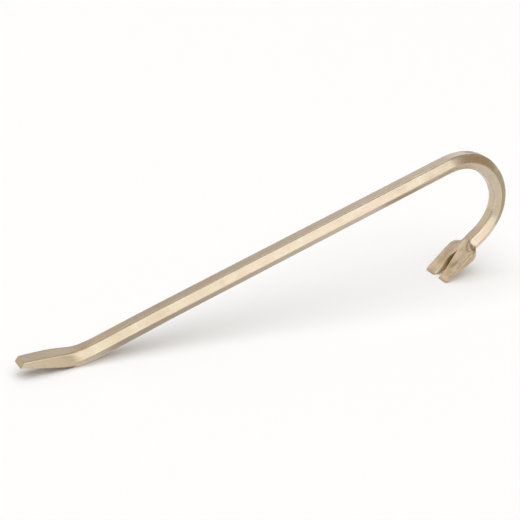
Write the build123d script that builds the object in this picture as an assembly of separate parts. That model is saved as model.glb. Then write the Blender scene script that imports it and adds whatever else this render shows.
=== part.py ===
from build123d import *
import math
import os

# Hexagonal gooseneck wrecking bar, forged in one piece from 19 mm hexagon stock.
# The bar lies in the XZ plane: chisel blade at the -X end, gooseneck and nail claw
# at the +X end, +Z up. It stands on the heel under its lower bend and on the two
# claw tips, and the origin is under the middle of the whole bar on that surface.
#
# The forging is written as five zones that meet face to face in flat sections.
# The zone faces are not joints: the metal runs straight through them.

# Driving dimensions, in millimetres and degrees
ACROSS_FLATS = 19.0        # hexagon stock, flats facing up and down
CORNER_BREAK = 0.9         # width of metal taken off each long corner
SHANK_RISE = 16.65         # slope of the straight shank when the bar stands
SHANK_LENGTH = 453.0       # straight stretch between the two bends
HEEL_LEAD = 90.0           # lower end of that stretch, where the heel bend begins to show
HEEL_DROP = 1.1            # how far the heel is pushed down below the line of the shank
CROWN_RADIUS = 61.6        # first half of the gooseneck, to the middle of the stock
CROWN_TURN = 85.0
THROAT_RADIUS = 53.6       # second half of the gooseneck, a little tighter
THROAT_TURN = 75.0
NECK_LENGTH = 12.0         # plain hexagon between the gooseneck and the claw
CLAW_REACH = 67.3          # from the end of the gooseneck to the claw tips
CLAW_HALF_WIDTH = 19.6     # half of the claw's width
SLOT_APEX = 31.5           # from the end of the gooseneck to the closed end of the slot
SLOT_APEX_HALF = 1.1       # half width of the slot at its closed end
SLOT_FLARE = 6.3           # angle of each side of the slot to the claw's middle
SLOT_BEVEL = 14.0          # lean of the slot's walls, wider on the inner face
APEX_RAKE = 1.5            # lean of the slot's closed end, as a multiple of its walls'
APEX_SPREAD = 0.6          # widening of the closed end over the inner half, likewise
CUTTER_DEPTH = 12.0        # half depth of the slot's cutter, more than the claw's
CUTTER_OVERRUN = 5.0       # how far the cutter runs past the claw tips

HALF_FLAT = ACROSS_FLATS / 2
HALF_CORNERS = ACROSS_FLATS / math.sqrt(3)


def heading(angle):
    """Unit vector in the XZ plane, angle in degrees above +X."""
    return Vector(math.cos(math.radians(angle)), 0, math.sin(math.radians(angle)))


def section_plane(centre, angle):
    """Plane across the bar: local X points to its upper side, local Y across it."""
    return Plane(origin=centre, x_dir=heading(angle + 90), z_dir=heading(angle))


def broken_corners(corners, width):
    """Outline with each corner cut back by the width, or by a third of a short side."""
    outline = []
    for index, corner in enumerate(corners):
        for neighbour in (corners[index - 1], corners[(index + 1) % len(corners)]):
            side = neighbour - corner
            outline.append(corner + side.normalized() * min(width, side.length / 3))
    return outline


def section(plane, half_outline):
    """Face across the bar from one half outline of (height, half width) points, top to bottom."""
    near = [Vector(height, width) for height, width in half_outline]
    far = [Vector(height, -width) for height, width in reversed(half_outline)]
    return plane * make_face(Polyline(*broken_corners(near + far, CORNER_BREAK), close=True))


HEXAGON = [(HALF_FLAT, HALF_CORNERS / 2), (0, HALF_CORNERS), (-HALF_FLAT, HALF_CORNERS / 2)]

SHANK_START = Vector(0, 0, 0)
SHANK_END = SHANK_START + heading(SHANK_RISE) * SHANK_LENGTH
CROWN_CENTRE = SHANK_END - heading(SHANK_RISE + 90) * CROWN_RADIUS
CROWN_ANGLE = SHANK_RISE - CROWN_TURN
CROWN_END = CROWN_CENTRE + heading(CROWN_ANGLE + 90) * CROWN_RADIUS
THROAT_CENTRE = CROWN_END - heading(CROWN_ANGLE + 90) * THROAT_RADIUS
CLAW_ANGLE = CROWN_ANGLE - THROAT_TURN
HOOK_END = THROAT_CENTRE + heading(CLAW_ANGLE + 90) * THROAT_RADIUS


def blade_section(top, bottom, top_half, side_half, side_share, bottom_half):
    """Section through a top and a bottom point (x, z), its side corner part way down."""
    upper = Vector(top[0], 0, top[1])
    lower = Vector(bottom[0], 0, bottom[1])
    height = (upper - lower).length
    lean = math.degrees(math.atan2(upper.Z - lower.Z, upper.X - lower.X)) - 90
    outline = [
        (height / 2, top_half),
        (height / 2 - side_share * height, side_half),
        (-height / 2, bottom_half),
    ]
    return section(section_plane((upper + lower) / 2, lean), outline)


# Sections of the drawn-down end: top and bottom points, half width of the top face,
# half width and share of the height at the side corner, half width of the underside.
BEND_MIDDLE = ((-13.6, 6.9), (-10.6, -10.1), 6.8, 10.2, 0.66, 7.2)
BLADE_ROOT = ((-27.4, 7.7), (-26.2, -7.1), 8.7, 9.2, 0.90, 9.0)
BLADE_MIDDLE = ((-43.0, 8.1), (-42.4, -3.2), 8.8, 9.0, 0.93, 8.9)
BLADE_FRONT = ((-67.8, 9.0), (-71.6, 3.6), 8.0, 8.2, 0.90, 8.1)


def chisel_blade():
    """Flat wedge that ends in a short bevelled face and a blunt edge."""
    return loft([blade_section(*s) for s in (BLADE_FRONT, BLADE_MIDDLE, BLADE_ROOT)], ruled=True)


def lead_section(distance):
    """Hexagon above the heel, pushed down in a smooth curve that ends at the straight grip."""
    share = 1 - distance / HEEL_LEAD
    centre = SHANK_START + heading(SHANK_RISE) * distance
    centre -= heading(SHANK_RISE + 90) * HEEL_DROP * share ** 1.5
    return section(section_plane(centre, SHANK_RISE), HEXAGON)


def heel_bend():
    """Lower bend, where the hexagon is drawn down into the blade."""
    faces = [blade_section(*BLADE_ROOT), blade_section(*BEND_MIDDLE)]
    faces += [lead_section(HEEL_LEAD * step / 4) for step in range(5)]
    return loft(faces, ruled=True)


def shank():
    """Straight hexagonal grip between the two bends."""
    return extrude(lead_section(HEEL_LEAD), SHANK_LENGTH - HEEL_LEAD)


def gooseneck():
    """Hexagon bent round two radii that meet in one direction."""
    start = section(section_plane(SHANK_END, SHANK_RISE), HEXAGON)
    crown = revolve(start, Axis(CROWN_CENTRE, (0, 1, 0)), CROWN_TURN)
    middle = section(section_plane(CROWN_END, CROWN_ANGLE), HEXAGON)
    return crown + revolve(middle, Axis(THROAT_CENTRE, (0, 1, 0)), THROAT_TURN)


# The neck keeps the hexagon, with its side corner split in two and a point added to
# its upper slope, so that it has as many corners as the claw's sections.
NECK_SIDE_SHARE = 0.10     # half height of the split corner, of half across flats
NECK_SLOPE_SHARE = 0.55    # height of the added point, of half across flats


def neck_corner(share):
    """Point on the hexagon's slope at a share of its half height."""
    return (HALF_FLAT * share, HALF_CORNERS * (1 - abs(share) / 2))


def neck_outline():
    """Hexagon with the claw section's number of corners."""
    return [neck_corner(s) for s in (1, NECK_SLOPE_SHARE, NECK_SIDE_SHARE, -NECK_SIDE_SHARE, -1)]


# Shares of the claw's half width: the flat of the raised middle, its foot, and the back.
RAISED_SHARE = 0.30
FOOT_SHARE = 0.62
BACK_SHARE = 0.45


def claw_outline(middle, inner, outer, back, width):
    """Claw section: raised middle, foot of the raised part, side, and back."""
    return [
        (middle, RAISED_SHARE * width),
        (inner, FOOT_SHARE * width),
        (inner, width),
        (outer, width),
        (back, BACK_SHARE * width),
    ]


# Sections of the claw, by distance from the end of the gooseneck: the raised middle's
# height, the inner and outer edge of the side, the back, and the half width.
# Positive heights are on the inner side of the hook.
CLAW_STATIONS = [
    # distance, middle, inner edge, outer edge, back, half width
    (15.0, 9.2, 3.4, -3.0, -9.2, 13.6),
    (19.0, 9.0, 4.0, -3.4, -8.8, 18.0),
    (22.0, 8.6, 4.2, -3.8, -8.5, CLAW_HALF_WIDTH),
    (27.0, 7.4, 4.1, -4.9, -8.0, CLAW_HALF_WIDTH),
    (44.0, 6.1, 3.1, -2.5, -5.6, CLAW_HALF_WIDTH),
    (52.0, 3.0, 2.3, -1.3, -4.8, CLAW_HALF_WIDTH),
    (62.0, 1.7, 1.4, -0.9, -3.0, CLAW_HALF_WIDTH),
    (CLAW_REACH, 1.0, 0.9, -0.8, -0.9, CLAW_HALF_WIDTH),
]


def claw_plane(distance):
    """Plane across the claw: local X points to the inner side of the hook, local Y across it."""
    centre = HOOK_END + heading(CLAW_ANGLE) * distance
    return Plane(origin=centre, x_dir=heading(CLAW_ANGLE - 90), z_dir=heading(CLAW_ANGLE))


def nail_slot():
    """V-shaped cutter, countersunk from the inner face of the claw."""
    flat = Plane(origin=HOOK_END, x_dir=heading(CLAW_ANGLE), z_dir=heading(CLAW_ANGLE - 90))
    lean = math.tan(math.radians(SLOT_BEVEL))
    mouth = CLAW_REACH + CUTTER_OVERRUN
    flare = (mouth - SLOT_APEX) * math.tan(math.radians(SLOT_FLARE))
    faces = []
    for height in (-CUTTER_DEPTH, CUTTER_DEPTH):
        apex = SLOT_APEX - APEX_RAKE * height * lean
        apex_half = SLOT_APEX_HALF + APEX_SPREAD * max(height, 0) * lean
        mouth_half = SLOT_APEX_HALF + flare + height * lean
        corners = [(apex, apex_half), (mouth, mouth_half), (mouth, -mouth_half), (apex, -apex_half)]
        faces.append(flat.offset(height) * make_face(Polyline(*corners, close=True)))
    return loft(faces, ruled=True)


def nail_claw():
    """Neck spread into a flat claw with a bevelled V slot between two tines."""
    faces = [section(claw_plane(0), neck_outline()), section(claw_plane(NECK_LENGTH), neck_outline())]
    for distance, middle, inner, outer, back, width in CLAW_STATIONS:
        faces.append(section(claw_plane(distance), claw_outline(middle, inner, outer, back, width)))
    return loft(faces, ruled=True) - nail_slot()


ZONES = {
    "chisel_blade": chisel_blade(),
    "heel_bend": heel_bend(),
    "shank": shank(),
    "gooseneck": gooseneck(),
    "nail_claw": nail_claw(),
}

boxes = [zone.bounding_box() for zone in ZONES.values()]
left = min(box.min.X for box in boxes)
right = max(box.max.X for box in boxes)
floor = min(box.min.Z for box in boxes)
stand = Location((-(left + right) / 2, 0, -floor))

os.makedirs("parts", exist_ok=True)
for name, zone in ZONES.items():
    export_step(stand * zone, f"parts/{name}.step")
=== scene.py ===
import math

import bmesh
import bpy
from mathutils import Matrix, Vector


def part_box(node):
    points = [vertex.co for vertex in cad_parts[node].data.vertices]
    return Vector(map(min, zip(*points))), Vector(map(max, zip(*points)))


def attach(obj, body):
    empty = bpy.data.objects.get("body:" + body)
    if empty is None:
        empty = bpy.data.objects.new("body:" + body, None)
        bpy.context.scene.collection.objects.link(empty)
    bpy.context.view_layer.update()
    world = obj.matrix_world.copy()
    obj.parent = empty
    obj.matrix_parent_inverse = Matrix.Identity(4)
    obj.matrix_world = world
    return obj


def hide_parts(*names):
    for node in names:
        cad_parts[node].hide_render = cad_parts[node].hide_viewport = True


# A hexagonal gooseneck wrecking bar, forged in one piece: chisel blade, heel bend,
# straight grip, gooseneck and nail claw. The looks are one closed mesh that runs
# through all five CAD zones, so the bar has no seams where the zones meet.
# Up to the finished mesh, lengths are in millimetres and angles in degrees, in the
# bar's own frame: the start of the straight stretch is the origin, and the bar lies
# in the XZ plane. Material, light and camera are in metres, in the CAD's frame.

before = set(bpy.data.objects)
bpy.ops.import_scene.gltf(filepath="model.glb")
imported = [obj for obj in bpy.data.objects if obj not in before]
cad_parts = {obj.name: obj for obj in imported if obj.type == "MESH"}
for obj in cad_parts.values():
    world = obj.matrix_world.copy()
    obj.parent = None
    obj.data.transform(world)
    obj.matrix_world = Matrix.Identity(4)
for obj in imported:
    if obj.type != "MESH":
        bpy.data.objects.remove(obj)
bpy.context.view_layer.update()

MM = 0.001

# ---------------------------------------------------------------- driving sizes
ACROSS_FLATS = 19.0
HALF_FLAT = ACROSS_FLATS / 2
HALF_CORNERS = ACROSS_FLATS / math.sqrt(3)
SHANK_RISE = 16.65                    # slope of the straight stretch
SHANK_LENGTH = 453.0
HEEL_LEAD = 90.0                      # its lower end, where the heel bend begins to show
HEEL_DROP = 1.1
CROWN_RADIUS, CROWN_TURN = 61.6, 85.0
THROAT_RADIUS, THROAT_TURN = 53.6, 75.0
SHOULDER = 12.0                       # from the gooseneck to where the claw begins to spread
SLOT_APEX = 31.5                      # from the gooseneck to the closed end of the nail slot
SLOT_POINT = 0.3                      # half width of the slot where it closes
SLOT_APEX_HALF = 1.1                  # half width that it soon grows to
SLOT_GROWTH = 10.0                    # length over which it does
SLOT_FLARE = math.tan(math.radians(5.3))
SLOT_LEAN = math.tan(math.radians(14.0))
APEX_RAKE = 1.5                       # lean of the closed end, as a multiple of the walls'


def heading(angle):
    """Unit vector in the XZ plane, angle in degrees above +X."""
    return Vector((math.cos(math.radians(angle)), 0.0, math.sin(math.radians(angle))))


def clamp(value):
    """Value held between 0 and 1."""
    return max(0.0, min(1.0, value))


SHANK_END = heading(SHANK_RISE) * SHANK_LENGTH
CROWN_CENTRE = SHANK_END - heading(SHANK_RISE + 90) * CROWN_RADIUS
CROWN_ANGLE = SHANK_RISE - CROWN_TURN
CROWN_END = CROWN_CENTRE + heading(CROWN_ANGLE + 90) * CROWN_RADIUS
THROAT_CENTRE = CROWN_END - heading(CROWN_ANGLE + 90) * THROAT_RADIUS
CLAW_ANGLE = CROWN_ANGLE - THROAT_TURN
HOOK_END = THROAT_CENTRE + heading(CLAW_ANGLE + 90) * THROAT_RADIUS

# The middle of the straight CAD zone fixes where the bar's own frame lies.
low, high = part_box("shank")
STRAIGHT_MIDDLE = heading(SHANK_RISE) * (SHANK_LENGTH + HEEL_LEAD) / 2
STAND = (low + high) / 2 / MM - STRAIGHT_MIDDLE

# ---------------------------------------------------------------- half sections
# A half section is 16 points (across, height), from the middle of the upper side,
# round one side of the bar, to the middle of the lower side. Upper is the outer
# side of the gooseneck, and lower is its inner side.
LAST = 15                             # index of the lower middle point
EDGE = 0.75                           # rounding of the long edges
SIDE_BAND = 2.2 * EDGE                # flat band beside the rounding of the side corner
MIDDLE_HALF = 1.1                     # half width of the strip along the middle of a face
FLAT_SHARE = 0.55                     # place of the line between the middle and the edge
LONGEST_SHARE = 0.33                  # the most of a side that a rounding takes
EASE = 0.35                           # how much a table eases in and out of its rows


def between(a, b, t):
    """Point part way from a to b."""
    return (a[0] + (b[0] - a[0]) * t, a[1] + (b[1] - a[1]) * t)


def towards(a, b, distance):
    """Point at a distance from a towards b, but not over a third of the way."""
    length = math.hypot(b[0] - a[0], b[1] - a[1])
    return between(a, b, min(distance / max(length, 1e-6), LONGEST_SHARE))


def table(rows, at):
    """Row of numbers at a place along a table whose first column is that place."""
    if at <= rows[0][0]:
        return rows[0][1:]
    for a, b in zip(rows, rows[1:]):
        if at <= b[0]:
            t = (at - a[0]) / (b[0] - a[0])
            t = t * t * (3 - 2 * t) * EASE + t * (1 - EASE)
            return tuple(p + (q - p) * t for p, q in zip(a[1:], b[1:]))
    return rows[-1][1:]


def three_corners(a, b, c):
    """Half section of a hexagon-like bar from its upper, side and lower corners."""
    top, bottom = (0.0, a[1]), (0.0, c[1])
    return [
        top, (min(MIDDLE_HALF, a[0] / 4), a[1]),
        between(top, a, FLAT_SHARE), towards(a, top, EDGE),
        towards(a, b, EDGE), between(a, b, 0.5), towards(b, a, SIDE_BAND), towards(b, a, EDGE),
        towards(b, c, EDGE), towards(b, c, SIDE_BAND), between(b, c, 0.5), towards(c, b, EDGE),
        towards(c, bottom, EDGE), between(bottom, c, FLAT_SHARE),
        (min(MIDDLE_HALF, c[0] / 4), c[1]), bottom,
    ]


def hexagon(outer=1.0, inner=1.0, side=1.0):
    """Half hexagon, its outer and inner half heights and its width scaled."""
    half = HALF_CORNERS * side
    return three_corners(
        (half / 2, HALF_FLAT * outer), (half, 0.0), (half / 2, -HALF_FLAT * inner)
    )


rings = []                            # placed half sections, from the blade to the slot


def add_ring(centre, angle, half):
    """Half section placed across the bar at a centre, square to the heading."""
    up = heading(angle + 90)
    rings.append([centre + up * h + Vector((0.0, w, 0.0)) for w, h in half])


# ---------------------------------------------------------------- blade and heel
# Upper and lower point (x, z), half width of the top face, half width and share of
# the height at the side corner, half width of the underside.
BLADE = [
    ((-68.0, 9.1), (-71.9, 3.5), 8.1, 8.3, 0.90, 8.2),
    ((-56.0, 9.0), (-57.2, 0.2), 8.7, 8.9, 0.92, 8.8),
    ((-43.0, 8.7), (-42.4, -3.0), 9.0, 9.2, 0.92, 9.0),
    ((-34.6, 8.3), (-33.8, -5.1), 9.0, 9.3, 0.91, 9.0),
    ((-27.4, 7.8), (-26.2, -7.2), 8.6, 9.5, 0.88, 8.7),
    ((-20.6, 7.1), (-18.6, -9.1), 7.8, 9.9, 0.77, 8.0),
    ((-13.6, 6.9), (-10.6, -10.2), 6.8, 10.4, 0.66, 6.9),
    ((-7.6, 7.6), (-3.6, -10.4), 6.0, 10.8, 0.57, 6.2),
]
# Rings along it, counted in rows of the table: close together at the blunt end.
BLADE_PLACES = (0, 0.07, 0.35, 0.7, 1, 1.5, 2, 2.5, 3, 3.5, 4, 4.5, 5, 5.5, 6, 6.5, 7)
LEAD_PLACES = (8.0, 15.0, 22.0, 30.0, 39.0, 50.0, 62.0, 76.0, HEEL_LEAD)
SWELL, SWELL_AT_HEEL = 0.045, 0.03    # fuller underside above the heel, and at it


def blade_ring(at):
    """Ring of the blade, part way between two rows of its table."""
    i = min(int(at), len(BLADE) - 2)
    a, b, t = BLADE[i], BLADE[i + 1], at - i
    (top_x, top_z), (low_x, low_z) = between(a[0], b[0], t), between(a[1], b[1], t)
    top_half, side_half, side_share, low_half = (p + (q - p) * t for p, q in zip(a[2:], b[2:]))
    upper, lower = Vector((top_x, 0, top_z)), Vector((low_x, 0, low_z))
    height = (upper - lower).length
    angle = math.degrees(math.atan2(upper.z - lower.z, upper.x - lower.x)) - 90
    half = three_corners(
        (top_half, height / 2), (side_half, height * (0.5 - side_share)), (low_half, -height / 2)
    )
    add_ring((upper + lower) / 2, angle, half)


for at in BLADE_PLACES:
    blade_ring(at)
BLADE_RINGS = len(rings)

for distance in LEAD_PLACES:
    share = 1 - distance / HEEL_LEAD
    drop = heading(SHANK_RISE + 90) * HEEL_DROP * share ** 1.5
    swell = SWELL * math.sin(math.pi * share ** 0.8) + SWELL_AT_HEEL * share
    add_ring(heading(SHANK_RISE) * distance - drop, SHANK_RISE, hexagon(inner=1 + swell))

# ---------------------------------------------------------------- grip
GRIP_RINGS = 34
for step in range(1, GRIP_RINGS + 1):
    distance = HEEL_LEAD + (SHANK_LENGTH - HEEL_LEAD) * step / GRIP_RINGS
    add_ring(heading(SHANK_RISE) * distance, SHANK_RISE, hexagon())

# ---------------------------------------------------------------- gooseneck
# Turn in degrees, then the outer and inner half heights and the width as shares of
# the plain hexagon: the stock is drawn a little thinner round the bend.
BEND = [
    (0, 0.98, 1.00, 1.00),
    (12, 0.96, 0.97, 1.00),
    (28, 1.00, 0.93, 1.00),
    (46, 1.00, 1.00, 0.99),
    (64, 0.94, 1.00, 0.99),
    (82, 0.98, 0.88, 0.98),
    (100, 1.03, 0.76, 0.97),
    (118, 1.06, 0.76, 0.97),
    (138, 0.96, 0.90, 0.98),
    (160, 0.93, 0.98, 0.98),
]
BEND_RINGS = 36
WHOLE_TURN = CROWN_TURN + THROAT_TURN
for step in range(1, BEND_RINGS + 1):
    turn = WHOLE_TURN * step / BEND_RINGS
    angle = SHANK_RISE - turn
    if turn <= CROWN_TURN:
        centre = CROWN_CENTRE + heading(angle + 90) * CROWN_RADIUS
    else:
        centre = THROAT_CENTRE + heading(angle + 90) * THROAT_RADIUS
    add_ring(centre, angle, hexagon(*table(BEND, turn)))

# ---------------------------------------------------------------- neck and claw
# Distance from the end of the gooseneck, half width of the claw, height and half
# width of its raised middle, half width at the foot of it, inner edge and outer edge
# of the side, half width and height of the back. Heights are towards the inner side.
CLAW = [
    (13.4, 12.2, 9.4, 5.4, 10.2, 0.8, -2.6, 5.4, -9.4),
    (15.2, 15.4, 9.2, 5.4, 11.4, 1.0, -3.8, 5.6, -9.2),
    (18.0, 18.6, 8.8, 5.3, 13.2, 2.9, -4.6, 6.0, -9.0),
    (21.0, 20.3, 8.2, 5.2, 14.2, 4.4, -5.4, 6.2, -8.7),
    (25.5, 20.8, 7.4, 5.2, 14.0, 4.8, -6.4, 6.2, -8.2),
    (33.0, 20.8, 6.6, 5.4, 14.0, 4.6, -5.8, 6.2, -7.4),
    (38.0, 20.8, 6.3, 5.6, 13.4, 4.2, -5.0, 6.4, -6.8),
    (43.0, 20.8, 6.0, 5.6, 12.4, 3.7, -4.2, 6.6, -6.2),
    (47.0, 20.8, 5.0, 5.2, 11.0, 3.1, -3.5, 6.8, -5.6),
    (51.0, 20.8, 3.3, 5.2, 10.4, 2.6, -2.8, 7.0, -5.0),
    (56.0, 20.7, 2.4, 5.4, 10.2, 2.0, -2.0, 7.2, -4.2),
    (62.0, 20.6, 1.7, 5.8, 10.0, 1.4, -1.4, 7.6, -2.9),
    (66.2, 20.0, 1.3, 6.2, 10.0, 1.1, -1.0, 8.0, -1.4),
    (67.7, 18.8, 1.0, 6.6, 10.0, 0.9, -0.5, 8.4, -0.6),
]
# Rings of the plain neck, of the claw before its slot, and of the two tines.
NECK = (4.0, 8.0, 11.0)
SOLID = (13.4, 15.2, 17.4, 19.6, 22.0, 24.4, 26.8, 29.0, 30.6, 31.6)
APEX = SOLID[-1]
SPLIT = (
    32.3, 33.6, 36.0, 38.6, 41.2, 43.6, 45.8, 48.0, 50.2, 52.6, 55.4, 58.6, 61.6, 64.0,
    65.8, 67.1, 67.7,
)
CLAW_EDGE = 1.0                       # rounding of the claw's sides
CLAW_EDGE_SHARE = 0.3                 # the most of the side's height that it takes
SIDE_LEAN = 1.7                       # how far the side's outer edge lies in from its inner one
BACK_IN = 2.2                         # how far in the back ends, before the rounding
LEAN_GAIN = 1.3                       # more lean of the slot's walls towards the tips:
LEAN_FROM, LEAN_OVER = 44.0, 14.0     # where it starts to grow, and over what length
MOUTH_FROM, MOUTH_FLARE = 66.4, 0.4   # where the slot's mouth opens, and its slope there
RAKE_OVER = 8.0                       # length over which the rings take on the apex's lean
SQUARE_AT, SQUARE_OVER = 66.0, 12.0   # where they are square again, and over what length


def slot_half(s, height):
    """Half width of the nail slot: sharp at its closed end, wider towards the inner
    face and more so near the tips, with its mouth rounded open."""
    past = max(0.0, s - SLOT_APEX)
    grown = min(1.0, past / SLOT_GROWTH)
    lean = SLOT_LEAN * (1 + LEAN_GAIN * clamp((s - LEAN_FROM) / LEAN_OVER))
    mouth = max(0.0, s - MOUTH_FROM) * MOUTH_FLARE
    wall = grown * (SLOT_APEX_HALF - SLOT_POINT + height * lean)
    return SLOT_POINT + past * SLOT_FLARE + wall + mouth


def claw_half(s):
    """Half section of the claw as (across, inner height), from its back to its inner side."""
    w, middle, raised, foot, inner, outer, back_half, back = table(CLAW, s)
    edge = min(CLAW_EDGE, CLAW_EDGE_SHARE * (inner - outer))
    back_edge, side, valley = (back_half, back), (w, outer), (foot, inner)
    return [
        (0.0, back), (MIDDLE_HALF, back), (back_half * FLAT_SHARE, back), back_edge,
        between(back_edge, side, 0.30), between(back_edge, side, 0.65),
        (w - BACK_IN - edge, outer - 0.1 * edge), (w - SIDE_LEAN, outer + edge),
        (w, inner - edge), (w - 1.6 * edge, inner), between(valley, (w, inner), 0.45), valley,
        (raised + 0.35 * (foot - raised), middle - 0.25 * (middle - inner)),
        (raised * 0.72, middle), (MIDDLE_HALF, middle), (0.0, middle),
    ]


def neck_ring(s):
    """Plain ring before the claw, as (distance, across, inner height)."""
    return [(s, across, -height) for across, height in hexagon(*table(BEND, WHOLE_TURN))]


def claw_ring(s, slot):
    """Ring of the claw, as (distance, across, inner height). It leans with the slot's
    closed end, and stands square again at the tips; past that end the slot spreads it."""
    rake = APEX_RAKE * SLOT_LEAN * min(1.0, (s - SHOULDER) / RAKE_OVER)
    points = []
    for index, (across, height) in enumerate(claw_half(s)):
        place = s - rake * height * clamp((SQUARE_AT - s) / SQUARE_OVER)
        across, height = claw_half(max(place, SHOULDER + 0.01))[index]
        if slot:
            opening = slot_half(place, height)
            whole = table(CLAW, place)[0]
            across = opening + across * (whole - opening) / whole
        points.append((place, across, height))
    return points


def claw_point(place, across, height):
    """Point of the bar from a distance, a place across and an inner height."""
    return (
        HOOK_END + heading(CLAW_ANGLE) * place - heading(CLAW_ANGLE + 90) * height
        + Vector((0.0, across, 0.0))
    )


def near_to(value, middle, spread):
    """1 at the middle, falling smoothly to 0 at the spread."""
    t = max(0.0, 1 - abs(value - middle) / spread)
    return t * t * (3 - 2 * t)


def claw_shade_and_scale(s):
    """Dark tone at each point of a claw section: painted shade on its sides, in the hollows
    behind its shoulders and at the end of its raised middle, and dark forging scale on its tips."""
    # painted shade: the sides darkened, more so in the hollows behind the shoulders and where the
    # raised middle ends
    side = 0.6 * clamp((s - 18.0) / 6.0)       # none at 18 mm, and full from 24 mm on
    hollow = 0.85 * near_to(s, 14.6, 4.6)
    end = 0.4 * near_to(s, 48.0, 6.5)
    tip = 0.9 * near_to(s, 68.6, 3.4)
    back, middle = [0.0] * 6, [end, end, 0.0, 0.0]
    shoulder = [side, side, 0.8 * side + hollow, hollow, 0.4 * hollow, 0.0]
    return [max(part, tip) for part in back + shoulder + middle]


CLAW_START = len(rings) + len(NECK)
for ring in [neck_ring(s) for s in NECK] + [claw_ring(s, False) for s in SOLID]:
    rings.append([claw_point(*point) for point in ring])

# ---------------------------------------------------------------- the cage
# Every vertex carries three things for the material: where it lies along and round
# the bar (run), how worn an edge it is (edge), and how dark it is made: painted shade in the
# claw's hollows, on its sides and down the slot, dark forging scale on the claw's tips and the
# blade's blunt end, and a darker line beside the blade's upper edges.
BAR_EDGES = (3, 4, 7, 8, 11, 12)
CLAW_EDGES = (14, 15)
TINE_WEAR = 0.6
# darker line along the blade's top face, beside its upper edges
BLADE_EDGE_DARK = [0.5 if i == 3 else 0.1 if i == 4 else 0.0 for i in range(LAST + 1)]
RIM_SCALE = [0.45] * (LAST + 1)       # rim of the blade's blunt end
# painted shade down the slot's wall, darker from the inner face to the back
WALL_SHADE = (0.2, 0.7, 1.0)          # down the slot's wall, from the inner face to the back
TIP_SCALE = 0.8
mesh = bmesh.new()
run_layer = mesh.verts.layers.float_vector.new("run")
edge_layer = mesh.verts.layers.float.new("edge")
shade_and_scale_layer = mesh.verts.layers.float.new("shade_and_scale")


def vertex(point, u, v, edge=0.0, shade_and_scale=0.0, flip=False):
    """Vertex at a point, or at its mirror image on the far side."""
    made = mesh.verts.new((point.x, -point.y, point.z) if flip else point)
    made[run_layer] = Vector((u, v, made.co.y)) * MM
    made[edge_layer] = edge
    made[shade_and_scale_layer] = shade_and_scale
    return made


def girths(points):
    """Distance round the section to each point of a row."""
    total, out = 0.0, [0.0]
    for a, b in zip(points, points[1:]):
        total += (b - a).length
        out.append(total)
    return out


def make_ring(points, u, edges=(), scale=(0.0,) * (LAST + 1)):
    """Vertices of both halves; the first and last points lie in the middle and are shared."""
    around = girths(points)
    worn = [float(i in edges) for i in range(LAST + 1)]
    near = [vertex(*row) for row in zip(points, [u] * len(points), around, worn, scale)]
    far = [vertex(points[i], u, around[i], worn[i], scale[i], flip=True) for i in range(1, LAST)]
    return near, [near[0]] + far + [near[LAST]]


def skin(a, b, flip):
    """Faces between two rows of vertices."""
    for i in range(len(a) - 1):
        corners = [a[i], a[i + 1], b[i + 1], b[i]]
        mesh.faces.new(corners[::-1] if flip else corners)


SIDE_POINT = 7                        # the run is measured along this point of the rings
cage, run = [], 0.0
for index, points in enumerate(rings):
    if index:
        run += (points[SIDE_POINT] - rings[index - 1][SIDE_POINT]).length
    if index < BLADE_RINGS:
        cage.append(make_ring(points, run, scale=BLADE_EDGE_DARK if index else RIM_SCALE))
    elif index < CLAW_START:
        cage.append(make_ring(points, run, BAR_EDGES))
    else:
        cage.append(make_ring(points, run, CLAW_EDGES, claw_shade_and_scale(SOLID[index - CLAW_START])))
for (near_a, far_a), (near_b, far_b) in zip(cage, cage[1:]):
    skin(near_a, near_b, False)
    skin(far_a, far_b, True)

# Blunt end of the blade: an inset ring keeps its edge crisp, and a ladder of quads
# from one side to the other closes it.
INSET_SHARE = 0.80
points = rings[0]
middle = (points[0] + points[LAST]) / 2
inset = [middle + (p - middle) * INSET_SHARE for p in points]
inset_near, inset_far = make_ring(inset, -1.0, scale=RIM_SCALE)
skin(inset_near, cage[0][0], False)
skin(inset_far, cage[0][1], True)
for i in range(LAST):
    corners = [inset_near[i], inset_near[i + 1]]
    mesh.faces.new(corners + [v for v in (inset_far[i + 1], inset_far[i]) if v not in corners])


WALL_EDGE = 0.9                       # rounding of the slot's wall at its two edges
WALL_EDGE_SHARE = 0.28                # the most of the wall's height that it takes


def wall(points):
    """Three points down the wall of the slot, from the inner face to the back."""
    inner, back = points[LAST], points[0]
    depth = inner[2] - back[2]
    edge = min(WALL_EDGE, WALL_EDGE_SHARE * depth) / depth
    return [tuple(p + (q - p) * f for p, q in zip(inner, back)) for f in (edge, 0.5, 1 - edge)]


# The tines: at the closed end three wall points in the middle plane finish both rows,
# and from there on each tine is a tube of its own.
APEX_GIRTH = 40.0                     # place round the section of the wall's middle points
FADE_RATE, FADE_LEAST = 2.2, 0.25     # the wall's painted shade lightens towards the tips
near, far = cage[-1]
# the wall points at the slot's closed end carry its painted shade
apex_wall = [
    vertex(claw_point(place, 0.0, height), run, APEX_GIRTH, shade_and_scale=deep)
    for (place, _, height), deep in zip(wall(claw_ring(APEX, False)), WALL_SHADE)
]
rows = {False: near + apex_wall + [near[0]], True: far + apex_wall + [far[0]]}
for s in SPLIT:
    half = claw_ring(s, True)
    points = [claw_point(*p) for p in half + wall(half)]
    around = girths(points)
    # painted shade of the slot wall, lighter towards the tips, after the claw's own dark tone
    fade = max(FADE_LEAST, 1 - FADE_RATE * (s - APEX) / (SPLIT[-1] - APEX))
    deep = claw_shade_and_scale(s) + [d * fade for d in WALL_SHADE]
    worn = [TINE_WEAR * float(i in CLAW_EDGES) for i in range(len(points))]
    for flip in (False, True):
        row = [
            vertex(p, run + s - APEX, v, e, r, flip)
            for p, v, e, r in zip(points, around, worn, deep)
        ]
        row.append(row[0])
        skin(rows[flip], row, flip)
        rows[flip] = row

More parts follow.
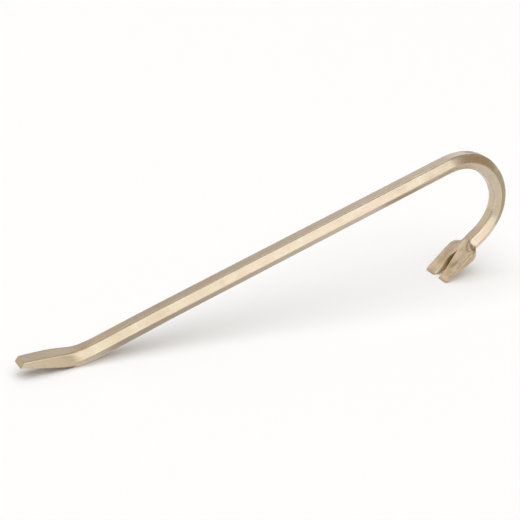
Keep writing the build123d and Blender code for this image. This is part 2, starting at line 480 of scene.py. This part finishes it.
# Blunt tips: an inset loop, pushed a little forward, then a ladder of quads between
# the inner face and the back. The wall's three points close its end at the slot.
TIP_INSET, TIP_FORWARD = 0.45, 0.25
for flip in (False, True):
    loop = rows[flip][:-1]
    middle = sum((v.co for v in loop), Vector()) / len(loop)
    middle.y = abs(middle.y)
    forward = heading(CLAW_ANGLE) * TIP_FORWARD
    v = []
    for old in loop:
        offset = Vector((old.co.x, abs(old.co.y), old.co.z)) - middle
        offset *= 1 - min(0.5, TIP_INSET / max(offset.length, 0.1))
        tip = middle + offset + forward
        v.append(vertex(tip, run + SPLIT[-1], 0.0, shade_and_scale=TIP_SCALE, flip=flip))
    skin(rows[flip], v + [v[0]], flip)
    faces = [[v[LAST - i], v[LAST - 1 - i], v[i + 1], v[i]] for i in range(LAST // 2)]
    upper, centre, lower = v[LAST + 1:]
    faces += [[upper, v[LAST], v[0], lower], [centre, upper, lower]]
    for corners in faces:
        mesh.faces.new(corners[::-1] if flip else corners)

# ---------------------------------------------------------------- finished mesh
for v in mesh.verts:
    v.co = (v.co + STAND) * MM
bmesh.ops.recalc_face_normals(mesh, faces=mesh.faces)
data = bpy.data.meshes.new("forged_bar")
mesh.to_mesh(data)
mesh.free()
bar = bpy.data.objects.new("forged_bar", data)
bpy.context.scene.collection.objects.link(bar)
smooth = bar.modifiers.new("smooth", "SUBSURF")
smooth.levels = smooth.render_levels = 2
smooth.use_limit_surface = True
for polygon in data.polygons:
    polygon.use_smooth = True

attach(bar, "root")
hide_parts("chisel_blade", "heel_bend", "shank", "gooseneck", "nail_claw")


# ---------------------------------------------------------------- node helpers
def node_tree(owner):
    """Node tree of a material or a world, switched on."""
    owner.use_nodes = True
    return owner.node_tree


def feed(socket, value):
    """Link an output socket to an input, or set the input's own value."""
    if isinstance(value, bpy.types.NodeSocket):
        socket.id_data.links.new(value, socket)
    else:
        socket.default_value = value


def add(tree, kind, inputs=(), **settings):
    """Node with its settings, and its inputs by name or number."""
    node = tree.nodes.new(kind)
    for name, value in settings.items():
        setattr(node, name, value)
    for key, value in dict(inputs).items():
        feed(node.inputs[key], value)
    return node


# ---------------------------------------------------------------- material
material = bpy.data.materials.new("forged_bronze")
bronze = node_tree(material)
data.materials.append(material)
shader = bronze.nodes["Principled BSDF"]
shader.inputs["Metallic"].default_value = 1.0


def stretch(vector, factors):
    """Vector multiplied by three factors."""
    node = add(bronze, "ShaderNodeVectorMath", {0: vector, 1: factors}, operation="MULTIPLY")
    return node.outputs[0]


def noise_of(vector, scale, detail=3.0, rough=0.55):
    """Noise value at a place, its scale in lumps to the metre."""
    inputs = {"Vector": vector, "Scale": scale, "Detail": detail, "Roughness": rough}
    return add(bronze, "ShaderNodeTexNoise", inputs).outputs["Fac"]


def ramp(value, low, high, out_low=0.0, out_high=1.0):
    """Value remapped from one range to another, clamped."""
    inputs = {
        "Value": value, "From Min": low, "From Max": high, "To Min": out_low, "To Max": out_high
    }
    return add(bronze, "ShaderNodeMapRange", inputs).outputs["Result"]


def math_node(operation, a, b):
    """Result of an operation on two values, each a socket or a number."""
    return add(bronze, "ShaderNodeMath", {0: a, 1: b}, operation=operation).outputs[0]


def times(a, b):
    """Product of two values."""
    return math_node("MULTIPLY", a, b)


def bump(height, distance, strength, normal=None):
    """Normal roughened by a height, on top of another if one is given."""
    inputs = {"Strength": strength, "Distance": distance, "Height": height}
    if normal:
        inputs["Normal"] = normal
    return add(bronze, "ShaderNodeBump", inputs).outputs["Normal"]


def attribute(name, output):
    """Value that the mesh carries at its vertices."""
    return add(bronze, "ShaderNodeAttribute", attribute_name=name).outputs[output]


place = add(bronze, "ShaderNodeTexCoord").outputs["Object"]
along = attribute("run", "Vector")
edge_wear = attribute("edge", "Fac")
# how dark each place is made: painted shade in the claw's hollows, on its sides and down the slot,
# and dark forging scale
shade_and_scale = attribute("shade_and_scale", "Fac")
along_bar = add(bronze, "ShaderNodeSeparateXYZ", {"Vector": along}).outputs["X"]
forged = ramp(along_bar, 0.685, 0.700)         # 1 on the claw, which is left as it was forged

mottle = noise_of(place, 38.0, 4.0)
tint = noise_of(place, 85.0)
blush = noise_of(place, 24.0, 2.0)
drawn = noise_of(stretch(along, (14.0, 900.0, 200.0)), 1.0, 5.0, 0.6)
bloom = noise_of(stretch(place, (1.0, 0.6, 1.0)), 95.0, 2.0)
patches = noise_of(place, 150.0, 3.0, 0.6)
dimple = noise_of(place, 210.0)
grain = noise_of(place, 2600.0, 2.0)
worn = times(ramp(edge_wear, 0.35, 1.0), ramp(tint, 0.3, 0.6, 0.15, 0.55))

PALE = (0.62, 0.53, 0.39, 1)
WARM = (0.60, 0.475, 0.335, 1)
DULL = (0.47, 0.375, 0.26, 1)
ROSE = (0.64, 0.47, 0.37, 1)
BLOOM = (0.74, 0.56, 0.43, 1)
OLIVE = (0.47, 0.41, 0.28, 1)
BRIGHT = (0.72, 0.64, 0.50, 1)
# dark tone for painted shade and for forging scale
SHADE_AND_SCALE_TONE = (0.42, 0.27, 0.09, 1)
# Tones laid over the pale metal, one on the other: where and how much, and the tone.
LAYERS = [
    (ramp(mottle, 0.38, 0.64), WARM),
    (times(ramp(blush, 0.52, 0.70), 0.7), ROSE),
    (times(forged, ramp(bloom, 0.42, 0.60, 0.0, 0.75)), BLOOM),
    (times(forged, ramp(patches, 0.48, 0.66, 0.0, 0.8)), OLIVE),
    (times(ramp(tint, 0.52, 0.72), 0.35), DULL),
    (times(ramp(drawn, 0.45, 0.75), 0.22), DULL),
    (worn, BRIGHT),
    # dark tone: painted shade in the claw's hollows, on its sides and down the slot, and dark
    # forging scale
    (times(shade_and_scale, 0.75), SHADE_AND_SCALE_TONE),
]
COLOUR_A, COLOUR_B, COLOUR_OUT = 6, 7, 2       # the colour sockets of a Mix node
colour = PALE
for amount, tone in LAYERS:
    inputs = {"Factor": amount, COLOUR_A: colour, COLOUR_B: tone}
    colour = add(bronze, "ShaderNodeMix", inputs, data_type="RGBA").outputs[COLOUR_OUT]
feed(shader.inputs["Base Color"], colour)

rough = math_node("ADD", ramp(mottle, 0.35, 0.65, 0.22, 0.28), ramp(drawn, 0.35, 0.7, -0.02, 0.05))
rough = math_node("SUBTRACT", rough, times(worn, 0.04))
rough = math_node("ADD", rough, times(shade_and_scale, 0.12))
feed(shader.inputs["Roughness"], rough)

normal = bump(dimple, 0.00010, 0.35)
normal = bump(drawn, 0.00003, 0.5, normal)
normal = bump(grain, 0.000012, 0.5, normal)
feed(shader.inputs["Normal"], normal)

# ---------------------------------------------------------------- floor and world
FLOOR_HALF = 20.0
floor_mesh = bpy.data.meshes.new("floor")
corners = [(x * FLOOR_HALF, y * FLOOR_HALF, 0) for x, y in ((-1, -1), (1, -1), (1, 1), (-1, 1))]
floor_mesh.from_pydata(corners, [], [(0, 1, 2, 3)])
floor = bpy.data.objects.new("floor", floor_mesh)
bpy.context.scene.collection.objects.link(floor)
pale = bpy.data.materials.new("pale_floor")
paint = node_tree(pale).nodes["Principled BSDF"]
paint.inputs["Base Color"].default_value = (0.86, 0.86, 0.86, 1)
paint.inputs["Roughness"].default_value = 0.9
paint.inputs["Specular IOR Level"].default_value = 0.1
floor_mesh.materials.append(pale)

# A dim even light all round, which is looked at as a pale room.
world = bpy.data.worlds.new("studio")
bpy.context.scene.world = world
studio = node_tree(world)
lit = studio.nodes["Background"]
lit.inputs["Color"].default_value = (1.0, 0.98, 0.95, 1)
lit.inputs["Strength"].default_value = 0.45
seen = add(studio, "ShaderNodeBackground", {"Color": (0.93, 0.93, 0.92, 1)})
rays = add(studio, "ShaderNodeLightPath")
either = add(studio, "ShaderNodeMixShader", {
    "Fac": rays.outputs["Is Camera Ray"], 1: lit.outputs[0], 2: seen.outputs[0],
})
feed(studio.nodes["World Output"].inputs["Surface"], either.outputs[0])


# ---------------------------------------------------------------- light
def direction(azimuth, elevation):
    """Unit vector towards a place: azimuth 0 is the front, -Y, and 90 is +X."""
    a, e = math.radians(azimuth), math.radians(elevation)
    return Vector((math.sin(a) * math.cos(e), -math.cos(a) * math.cos(e), math.sin(e)))


def sun(name, azimuth, elevation, strength, spread):
    """Broad even light from a direction; the metal doesn't mirror it."""
    lamp = bpy.data.lights.new(name, "SUN")
    lamp.energy = strength
    lamp.angle = math.radians(spread)
    obj = bpy.data.objects.new(name, lamp)
    bpy.context.scene.collection.objects.link(obj)
    obj.rotation_mode = "QUATERNION"
    obj.rotation_quaternion = (-direction(azimuth, elevation)).to_track_quat("-Z", "Y")
    obj.visible_glossy = False


def mirror_card(name, centre, facing, width, height, first, second):
    """Card that only the metal sees, as light or shade to mirror. Its colour runs from
    the first at its left end, as the bar sees it, to the second at its right end. A
    level card has the first at its +X end."""
    card = bpy.data.meshes.new(name)
    half_w, half_h = width / 2, height / 2
    corners = [(-half_w, -half_h), (half_w, -half_h), (half_w, half_h), (-half_w, half_h)]
    card.from_pydata([(x, y, 0) for x, y in corners], [], [(0, 1, 2, 3)])
    obj = bpy.data.objects.new(name, card)
    bpy.context.scene.collection.objects.link(obj)
    obj.location = centre
    obj.rotation_mode = "QUATERNION"
    obj.rotation_quaternion = facing.to_track_quat("Z", "Y")
    glow = bpy.data.materials.new(name)
    tree = node_tree(glow)
    tree.nodes.clear()
    place = add(tree, "ShaderNodeTexCoord").outputs["Object"]
    across = add(tree, "ShaderNodeSeparateXYZ", {0: place}).outputs["X"]
    share = add(tree, "ShaderNodeMapRange", {
        "Value": across, "From Min": -half_w, "From Max": half_w,
    }).outputs["Result"]
    blend = add(tree, "ShaderNodeMix", data_type="RGBA", clamp_result=False)
    for key, value in (("Factor", share), (COLOUR_A, (*first, 1)), (COLOUR_B, (*second, 1))):
        feed(blend.inputs[key], value)
    light = add(tree, "ShaderNodeEmission", {"Color": blend.outputs[COLOUR_OUT]})
    add(tree, "ShaderNodeOutputMaterial", {"Surface": light.outputs[0]})
    card.materials.append(glow)
    obj.visible_camera = obj.visible_diffuse = obj.visible_shadow = False
    obj.visible_transmission = obj.visible_volume_scatter = False


MIDDLE = Vector((0.1, 0.0, 0.08))
CARD_DISTANCE = 2.0


def round_card(name, azimuth, elevation, width, height, first, second):
    """Mirror card in a direction from the middle of the bar, square to it."""
    back = direction(azimuth, elevation)
    mirror_card(name, MIDDLE + back * CARD_DISTANCE, -back, width, height, first, second)


SKY, GREY, HAZE = (0.80, 0.80, 0.80), (0.54, 0.52, 0.52), (0.92, 0.86, 0.78)
OCHRE, SAND = (0.47, 0.417, 0.314), (0.60, 0.57, 0.52)
sun("overhead", -20, 80, 2.25, 80)
round_card("key", 2.5, 21, 2.08, 1.55, (1.75, 1.84, 1.95), (1.36, 1.41, 1.40))
round_card("fill", -50, 32, 1.2, 1.8, SKY, SKY)
round_card("back", 160.3, 36, 2.83, 1.3, (0.40, 0.39, 0.41), (1.34, 1.38, 1.48))
round_card("back_left", 222.5, 34, 2.0, 2.6, (0.88, 0.85, 0.80), (0.98, 0.93, 0.85))
round_card("side_flag", 57, 16, 1.9, 1.5, OCHRE, OCHRE)
# name, centre, facing, width, height, first and second colour
CARDS = [
    ("back_low", (-0.05, 2.0, 0.34), (0, -1, 0), 0.8, 0.66, HAZE, HAZE),
    ("top", (0.05, -0.1, 2.1), (0, 0, -1), 1.4, 1.5, (1.60, 1.60, 1.62), (0.36, 0.34, 0.32)),
    ("right_flag", (0.37, -0.02, 0.06), (-1, 0, 0), 0.6, 0.118, SAND, SAND),
    ("bounce", (0.0985, 0.0, 0.0005), (0, 0, 1), 0.557, 0.20, (1.00, 1.02, 1.08), GREY),
    ("bounce_end", (-0.21, 0.0, 0.0005), (0, 0, 1), 0.06, 0.20, GREY, (0.92, 0.91, 0.89)),
]
for name, centre, facing, *rest in CARDS:
    mirror_card(name, Vector(centre), Vector(facing), *rest)

# ---------------------------------------------------------------- camera
CAMERA_AT = Vector((-0.62625, -1.03176, 0.66125))
CAMERA_BACK = Vector((-0.4503, -0.7752, 0.4430)).normalized()
CAMERA_UP = CAMERA_BACK.cross(Vector((0.8727, -0.4871, 0.0347))).normalized()
CAMERA_RIGHT = CAMERA_UP.cross(CAMERA_BACK)
SENSOR_MM, FOCAL_MM = 36.0, 87.26
lens = bpy.data.cameras.new("camera")
lens.sensor_width = SENSOR_MM
lens.lens = FOCAL_MM
camera = bpy.data.objects.new("camera", lens)
bpy.context.scene.collection.objects.link(camera)
axes = Matrix((CAMERA_RIGHT, CAMERA_UP, CAMERA_BACK)).transposed().to_4x4()
camera.matrix_world = Matrix.Translation(CAMERA_AT) @ axes
bpy.context.scene.camera = camera
bpy.context.scene.view_settings.view_transform = "Standard"
